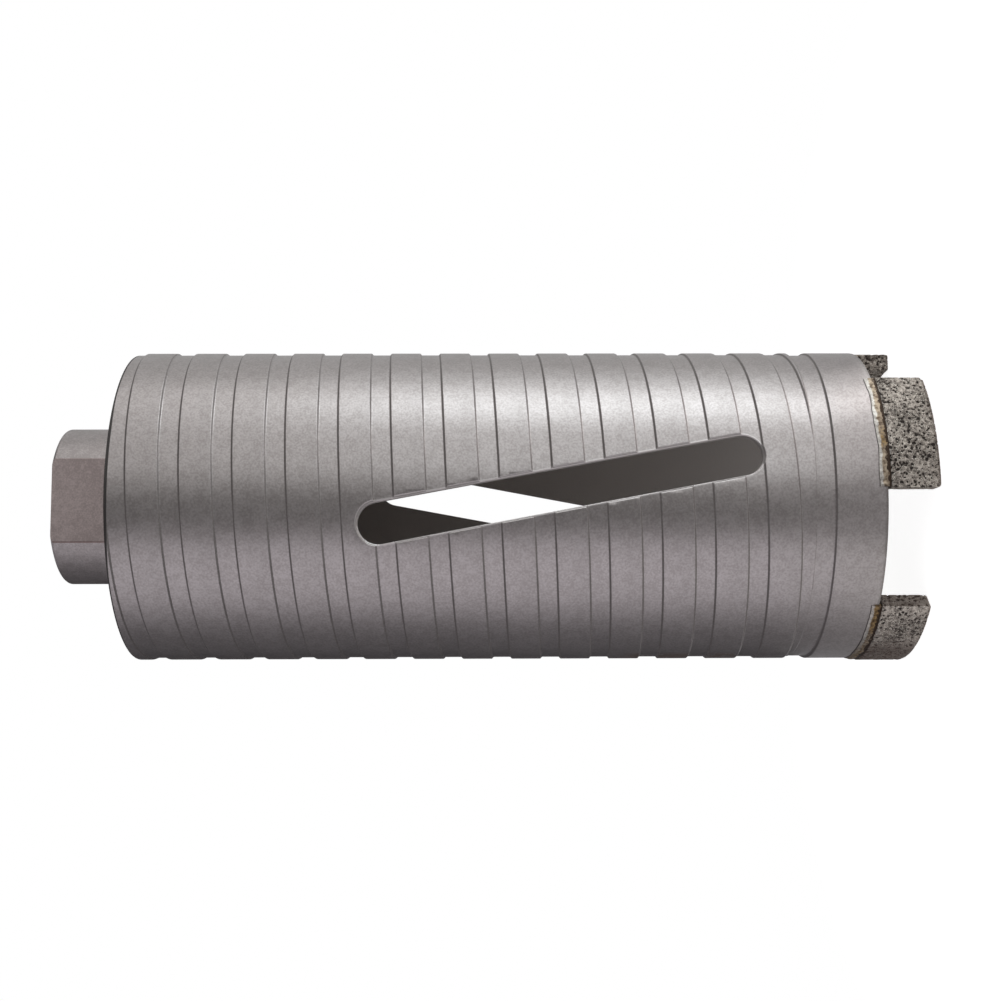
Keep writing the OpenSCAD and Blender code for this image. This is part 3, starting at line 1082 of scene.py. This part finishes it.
def hub_material(groups):
    """The same paint on the hub, with bare oiled metal in the thread."""
    made, tree, shader = material("hub_paint", Metallic=0.8, IOR=1.5, Coat_Weight=0.2, Coat_Roughness=0.3)
    where = object_place(tree)
    grain = use(tree, groups["grain"], Vector=where, Size=0.35 * MM)
    spot = use(tree, groups["place"], Vector=where)
    radius, height = [Num(tree, spot.outputs[k]) for k in range(2)]
    fine, coarse, broad = [Num(tree, grain.outputs[k]) for k in range(3)]
    flakes = clamped(fine * 0.6 + coarse * 0.4 + (broad - 0.5) * 0.4, 0.0, 1.0)
    colour = ramp(tree, flakes, (0.38, (0.37, 0.332, 0.322)), (0.62, (0.5, 0.455, 0.446)))
    # The wrench flats are a little browner, with a dark line along their lower edge
    facing = dot(tree, where, (math.cos(HUB_ANGLE), math.sin(HUB_ANGLE), 0))
    across = dot(tree, where, (-math.sin(HUB_ANGLE), math.cos(HUB_ANGLE), 0))
    flat = eased((calc(tree, "ABSOLUTE", facing) - HUB_FLATS / 2 + 0.06 * MM) / (0.04 * MM))
    flat = flat * eased((height - BACK) / (0.1 * MM))
    browner = ramp(tree, flakes, (0.38, (0.45, 0.368, 0.355)), (0.62, (0.6, 0.5, 0.484)))
    colour = mixed(tree, flat, colour, browner)
    half = math.sqrt(HUB_R ** 2 - (HUB_FLATS / 2) ** 2)
    line = flat * eased((0.42 * MM - calc(tree, "ABSOLUTE", across + half)) / (0.2 * MM))
    colour = mixed(tree, line * 0.6, colour, (0.2, 0.12, 0.11))
    inside = 1.0 - eased((radius - THREAD_MOUTH + 0.2 * MM) / (0.3 * MM))
    colour = mixed(tree, inside, colour, (0.3, 0.285, 0.26))
    feed(tree, shader.inputs["Base Color"], colour)
    feed(tree, shader.inputs["Roughness"], 0.36 + (coarse - 0.5) * 0.08)
    bumped(tree, shader, fine * 0.6 + coarse * 0.4, 0.15, 0.06 * MM)
    return made


def weld_material(groups):
    """The weld, sprayed over thinly, with heat stain beside its ripples."""
    made, tree, shader = material("weld_metal", Metallic=0.85, IOR=1.5)
    grain = use(tree, groups["grain"], Vector=object_place(tree), Size=0.2 * MM)
    fine, coarse = [Num(tree, grain.outputs[k]) for k in range(2)]
    colour = ramp(tree, coarse,
        (0.3, (0.2, 0.17, 0.15)), (0.5, (0.33, 0.31, 0.3)), (0.7, (0.42, 0.41, 0.4)))
    feed(tree, shader.inputs["Base Color"], colour)
    feed(tree, shader.inputs["Roughness"], 0.35 + fine * 0.15)
    bumped(tree, shader, fine, 0.2, 0.05 * MM)
    return made


def segment_material(groups):
    """Sintered metal: a beige-grey mass with dark pits and bright specks, smooth at its root."""
    made, tree, shader = material("sintered_segment", Metallic=0.35, IOR=1.5)
    rest = add(tree, "ShaderNodeAttribute", attribute_name="rest").outputs["Vector"]
    grain = use(tree, groups["grain"], Vector=rest, Size=0.16 * MM)
    fine, coarse, broad = [Num(tree, grain.outputs[k]) for k in range(3)]
    marks = use(tree, groups["pits"], Vector=rest, Seed=attribute(tree, "seed"), Size=PIT_SIZE)
    pitted = attribute(tree, "pitted")
    pit = Num(tree, marks.outputs["Pit"]) * pitted
    speck = Num(tree, marks.outputs["Speck"]) * pitted
    mass = clamped(fine * 0.45 + coarse * 0.55 + (broad - 0.5) * 0.4, 0.0, 1.0)
    colour = ramp(tree, mass,
        (0.37, (0.085, 0.07, 0.058)), (0.5, (0.28, 0.244, 0.21)), (0.63, (0.62, 0.555, 0.49)))
    root = ramp(tree, coarse, (0.35, (0.17, 0.15, 0.135)), (0.65, (0.42, 0.388, 0.36)))
    colour = mixed(tree, pitted, root, colour)
    colour = mixed(tree, speck * 0.85, colour, (0.88, 0.84, 0.74))
    colour = mixed(tree, clamped(pit * 1.3, 0.0, 0.95), colour, (0.042, 0.033, 0.029))
    # Brown on the end faces as painted shade, more on the lower half; dirt along the tips; and darker
    # brown on the lower side
    spot = use(tree, groups["place"], Vector=rest)
    height = Num(tree, spot.outputs["Height"])
    angle = Num(tree, spot.outputs["Angle"])
    low_side = eased((0.5 + coarse * 0.3 - calc(tree, "ABSOLUTE", angle - LOW_SIDE_ANGLE)) / 0.25)
    tip = eased((0.9 * MM + (coarse - 0.5) * 1.6 * MM - height) / (0.6 * MM))
    lower_half = calc(tree, "LESS_THAN", angle, 0.0)
    dirt_and_painted_shade = attribute(tree, "end_side") * (0.2 + lower_half * 0.42)
    dirt_and_painted_shade = calc(tree, "MAXIMUM", dirt_and_painted_shade, calc(tree, "MAXIMUM", tip * 0.55, low_side * 0.78))
    colour = mixed(tree, dirt_and_painted_shade, colour, (0.1, 0.07, 0.056))
    feed(tree, shader.inputs["Base Color"], colour)
    feed(tree, shader.inputs["Roughness"], 0.55 - speck * 0.2 + pit * 0.3)
    bumped(tree, shader, fine * 0.4 + coarse * 0.6, 0.5, 0.12 * MM)
    return made


def braze_material(groups):
    """Braze: pale and lumpy in the middle, a painted shadow along its thin edge, brown by the segment and
    in patches.
    """
    made, tree, shader = material("braze_metal", Metallic=0.8, IOR=1.5)
    where = object_place(tree)
    grain = use(tree, groups["grain"], Vector=where, Size=0.15 * MM)
    fine, coarse, broad = [Num(tree, grain.outputs[k]) for k in range(3)]
    rise = attribute(tree, "rise")
    wave = noise(tree, where, 0.9 / MM, 2.0) - 0.5
    pale = ramp(tree, coarse * 0.6 + fine * 0.4, (0.38, (0.36, 0.33, 0.3)), (0.6, (0.68, 0.64, 0.59)))
    tan = ramp(tree, coarse, (0.38, (0.16, 0.115, 0.08)), (0.6, (0.43, 0.35, 0.26)))
    gold = ramp(tree, coarse, (0.38, (0.13, 0.08, 0.035)), (0.6, (0.34, 0.23, 0.11)))
    stained = eased((broad * 0.7 + coarse * 0.3 - 0.51) / 0.1)
    tan = mixed(tree, stained, tan, gold)
    colour = mixed(tree, eased((rise - 0.5 + wave * 0.5) / 0.2), tan, pale)
    angle = Num(tree, use(tree, groups["place"], Vector=where).outputs["Angle"])
    low_side = eased((0.6 - calc(tree, "ABSOLUTE", angle - LOW_SIDE_ANGLE)) / 0.3)
    colour = mixed(tree, low_side * 0.8, colour, gold)
    near_root = 1.0 - eased((rise + 0.03 + wave * 1.1 - low_side * 0.2) / 0.12)
    colour = mixed(tree, near_root, colour, (0.055, 0.036, 0.025))
    # A painted shadow along the braze's thin edge on the barrel
    edge_shadow = eased((rise - 0.9) / 0.06)
    colour = mixed(tree, edge_shadow * 0.85, colour, (0.08, 0.07, 0.07))
    feed(tree, shader.inputs["Base Color"], colour)
    feed(tree, shader.inputs["Roughness"], 0.36 + stained * 0.15 + near_root * 0.2)
    bumped(tree, shader, fine * 0.5 + coarse * 0.5, 0.35, 0.1 * MM)
    return made


# Studio

def added(tree, *shaders):
    """The light of several shaders together, sent to the material's output."""
    last = shaders[0]
    for shader in shaders[1:]:
        both = add(tree, "ShaderNodeAddShader")
        tree.links.new(last.outputs[0], both.inputs[0])
        tree.links.new(shader.outputs[0], both.inputs[1])
        last = both
    leave = add(tree, "ShaderNodeOutputMaterial")
    tree.links.new(last.outputs[0], leave.inputs["Surface"])


# The light tent: its size, and the brightness of its wall by the angle in degrees round the
# bit, from behind, past the camera at 0 and the picture's top side at 90, to behind again
TENT_R = 0.9
TENT_LOW = -0.8
TENT_TOP = 1.0
TENT_FACETS = 64
TENT_LEVELS = [
    (-180, 0.3), (-172, 0.1), (-150, 0.03), (-125, 0.1), (-104, 0.14), (-88, 0.3), (-68, 0.7),
    (-50, 0.8), (-28, 0.74), (-16, 0.2), (-4, 0.14), (6, 0.2), (18, 0.5), (30, 0.78),
    (50, 0.75), (70, 0.92), (90, 1.05), (108, 0.6), (130, 0.55), (155, 0.45), (180, 0.3)]
# What a soft box adds on the lower part of the wall
BOX_LEVELS = [
    (-180, 0.0), (16, 0.0), (26, 0.5), (40, 0.42), (56, 0.27), (66, 1.05), (74, 2.0),
    (84, 1.7), (94, 0.6), (112, 0.25), (125, 0.0), (180, 0.0)]
BRIGHTEST = 2.0
LID_LEVEL = 0.35
TENT_LIGHT = (1.0, 1.0, 1.0)
LOW_SIDE_LIGHT = (0.985, 0.965, 1.03)
BOX_LIGHT = (0.93, 1.04, 1.08, 1)

# The pale table: what it mirrors of the tent, by the same angle, and how bright it looks to
# the camera and to what it lights softly
FLOOR_R = 0.12
FLOOR_FACETS = 96
FLOOR_LEVELS = [
    (-180, 0.0), (-85, 0.02), (-70, 0.14), (-50, 0.38), (-28, 0.45), (-16, 0.12), (8, 0.05),
    (20, 0.4), (30, 0.56), (50, 0.75), (66, 1.9), (82, 0.85), (105, 0.15), (130, 0.23),
    (180, 0.0)]
FLOOR_SEEN = 0.88
FLOOR_SPREAD = 0.6

# The camera: its lens and its film's width in millimetres, then its place and direction. It
# lies on its side, so that the bit lies across the picture with its mouth to the right
LENS = 50.854
FILM = 36
CAMERA_PLACE = (0, -0.3122, 0.08992)
CAMERA_AHEAD = (0.00392, 0.99995, -0.00937)
CAMERA_UP = (1, -0.003937, -0.0018)


def round_the_bit(tree):
    """A place's distance along X, its angle round the bit from the camera's side, its height."""
    x, y, z = parts_of(tree, object_place(tree))
    return x, calc(tree, "ARCTAN2", x, y * -1.0), z


def level_round(tree, angle, levels):
    """A brightness that follows the angle round the bit."""
    stops = [((degrees + 180) / 360, (level / BRIGHTEST,) * 3) for degrees, level in levels]
    return Num(tree, ramp(tree, angle / TURN + 0.5, *stops)) * BRIGHTEST


def empty_material(name):
    """A material without nodes, and its tree."""
    made = bpy.data.materials.new(name)
    made.use_nodes = True
    made.node_tree.nodes.clear()
    return made, made.node_tree


def tent_material():
    """The tent's own light, dimmer at both ends and cooler below, and the soft box over it."""
    made, tree = empty_material("tent_light")
    x, angle, z = round_the_bit(tree)
    below = 1.0 - eased((angle + 0.5) / 0.4)
    shade = (0.7 + 0.3 * eased((z + 0.5) / 0.3)) * (1.0 - 0.25 * eased((z - 0.4) / 0.2))
    near_floor = eased(1.0 - calc(tree, "ABSOLUTE", z - 0.03) / 0.16)
    wall = level_round(tree, angle, TENT_LEVELS) * shade * (1.0 + 0.14 * below * near_floor)
    # The lid is dim, and dimmer still over the side that the picture shows at the top
    on_lid = calc(tree, "GREATER_THAN", z, TENT_TOP - 0.01)
    lid = LID_LEVEL * (0.35 + 0.65 * eased((0.1 - x) / 0.4))
    tent = add(tree, "ShaderNodeEmission", {
        "Color": mixed(tree, below, TENT_LIGHT, LOW_SIDE_LIGHT),
        "Strength": (1.0 - on_lid) * wall + on_lid * lid})
    in_box = eased((z + 0.7) / 0.1) * (1.0 - eased((z - 0.15) / 0.1))
    box = add(tree, "ShaderNodeEmission", {
        "Color": BOX_LIGHT, "Strength": level_round(tree, angle, BOX_LEVELS) * in_box})
    added(tree, tent, box)
    return made


def circle(radius, z, count):
    """Points round the bit's axis."""
    turns = [TURN * k / count for k in range(count)]
    return [(radius * math.cos(turn), radius * math.sin(turn), z) for turn in turns]


def make_tent():
    """A light tent round the bit, which the metal shows and the camera looks through."""
    count = TENT_FACETS
    points = circle(TENT_R, TENT_LOW, count) + circle(TENT_R, TENT_TOP, count)
    faces = []
    for k in range(count):
        after = (k + 1) % count
        faces.append((after, k, k + count, after + count))
    faces.append(tuple(range(2 * count - 1, count - 1, -1)))
    mesh = bpy.data.meshes.new("tent")
    mesh.from_pydata(points, [], faces)
    tent = new_object("tent", mesh)
    coat(tent, tent_material())
    tent.visible_camera = False


def floor_material():
    """A pale table that mirrors the tent as the metal sees it."""
    made, tree = empty_material("pale_floor")
    angle = round_the_bit(tree)[1]
    path = add(tree, "ShaderNodeLightPath")
    seen = Num(tree, path.outputs["Is Camera Ray"])
    mirrored = Num(tree, path.outputs["Is Glossy Ray"])
    spread = Num(tree, path.outputs["Is Diffuse Ray"])
    mirrored = mirrored * level_round(tree, angle, FLOOR_LEVELS)
    glow = add(tree, "ShaderNodeEmission", {
        "Color": (1, 1, 1, 1), "Strength": seen * FLOOR_SEEN + mirrored + spread * FLOOR_SPREAD})
    added(tree, add(tree, "ShaderNodeBsdfDiffuse", {"Color": (0.8, 0.8, 0.8, 1)}), glow)
    return made


def make_floor():
    """A round pale table that the bit stands on."""
    mesh = bpy.data.meshes.new("floor")
    mesh.from_pydata(circle(FLOOR_R, 0, FLOOR_FACETS), [], [tuple(range(FLOOR_FACETS))])
    floor = new_object("floor", mesh)
    coat(floor, floor_material())


def make_world():
    """A white background that only the camera sees."""
    world = bpy.data.worlds.new("studio")
    world.use_nodes = True
    bpy.context.scene.world = world
    tree = world.node_tree
    tree.nodes.clear()
    seen = add(tree, "ShaderNodeLightPath").outputs["Is Camera Ray"]
    glow = add(tree, "ShaderNodeBackground", {"Color": (1, 1, 1, 1), "Strength": seen})
    leave = add(tree, "ShaderNodeOutputWorld")
    tree.links.new(glow.outputs[0], leave.inputs["Surface"])


def make_camera():
    """The photograph's view."""
    camera = new_object("camera", bpy.data.cameras.new("camera"))
    bpy.context.scene.camera = camera
    camera.data.lens = LENS
    camera.data.sensor_width = FILM
    camera.data.clip_start = 0.01
    ahead = Vector(CAMERA_AHEAD).normalized()
    right = ahead.cross(Vector(CAMERA_UP)).normalized()
    up = right.cross(ahead)
    turned = Matrix((right, up, -ahead)).transposed().to_4x4()
    camera.matrix_world = Matrix.Translation(CAMERA_PLACE) @ turned


# The bit in its studio

make_camera()
make_world()
make_tent()
make_floor()

groups = {"grain": grain_group(), "place": place_group(), "slot": slot_group(), "pits": pit_group()}
paint = paint_material(groups)
make_barrel(paint)
coat(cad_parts["back_plate"], paint)
make_hub(hub_material(groups))
make_weld(weld_material(groups))
sinter = segment_material(groups)
pitted = segment_tree(sinter)
brass = braze_material(groups)
lumpy = braze_tree(brass)
for number in range(1, len(SEGMENT_ANGLES) + 1):
    make_segment(number, pitted, sinter)
    make_braze(number, lumpy, brass)

bpy.context.scene.view_settings.view_transform = "Standard"
